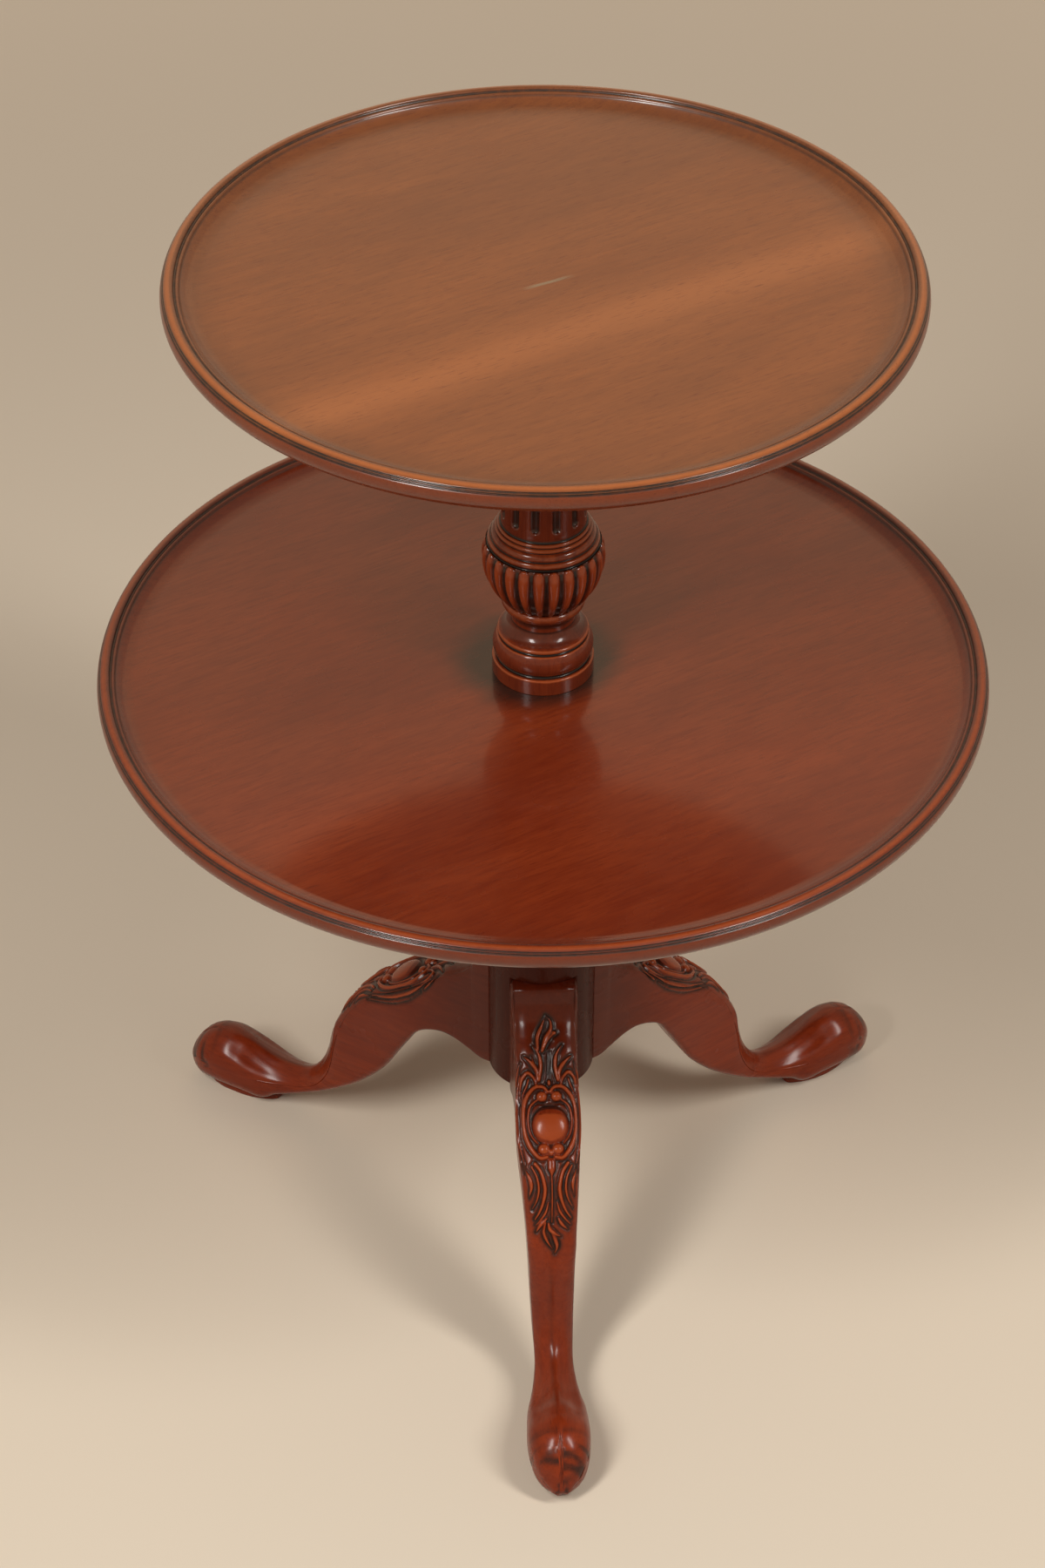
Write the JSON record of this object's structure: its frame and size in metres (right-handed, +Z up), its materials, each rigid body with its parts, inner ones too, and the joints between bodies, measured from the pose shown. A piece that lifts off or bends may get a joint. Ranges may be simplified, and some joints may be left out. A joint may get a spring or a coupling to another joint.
{
  "type": "dumbwaiter table",
  "caption": "Tiered round dumbwaiter table: dished mahogany trays on a fluted and gadrooned turned column, with carved cabriole tripod legs on pad feet.",
  "frame": {"origin": "on the floor under the axis of the column", "axes": "+Z up along the column, -Y towards the front leg, +X to the right in the picture"},
  "size_m": [0.5589, 0.5648, 0.762],
  "materials": {
    "tray_mahogany": "French polish, satin to gloss, over figured mahogany with dark stain in the mouldings",
    "carved_mahogany": "polished dark red mahogany, darker in the carving and worn on its crests",
    "hidden_mahogany": "plain oiled wood under the trays",
    "screw_steel": "dull steel",
    "insert_brass": "plain brass",
    "dowel_beech": "bare beech",
    "brace_iron": "blackened iron"
  },
  "bodies": {
    "root": {"upper_tray": "tray_mahogany", "upper_block": "hidden_mahogany", "upper_block_screws": "screw_steel", "upper_column": "carved_mahogany", "column_bolt": "screw_steel", "lower_tray": "tray_mahogany", "lower_block": "hidden_mahogany", "lower_block_screws": "screw_steel", "bolt_insert": "insert_brass", "base_column": "carved_mahogany", "leg_front": "carved_mahogany", "leg_right": "carved_mahogany", "leg_left": "carved_mahogany", "leg_dowels": "dowel_beech", "brace": "brace_iron", "brace_screws": "screw_steel"}
  },
  "joints": []
}
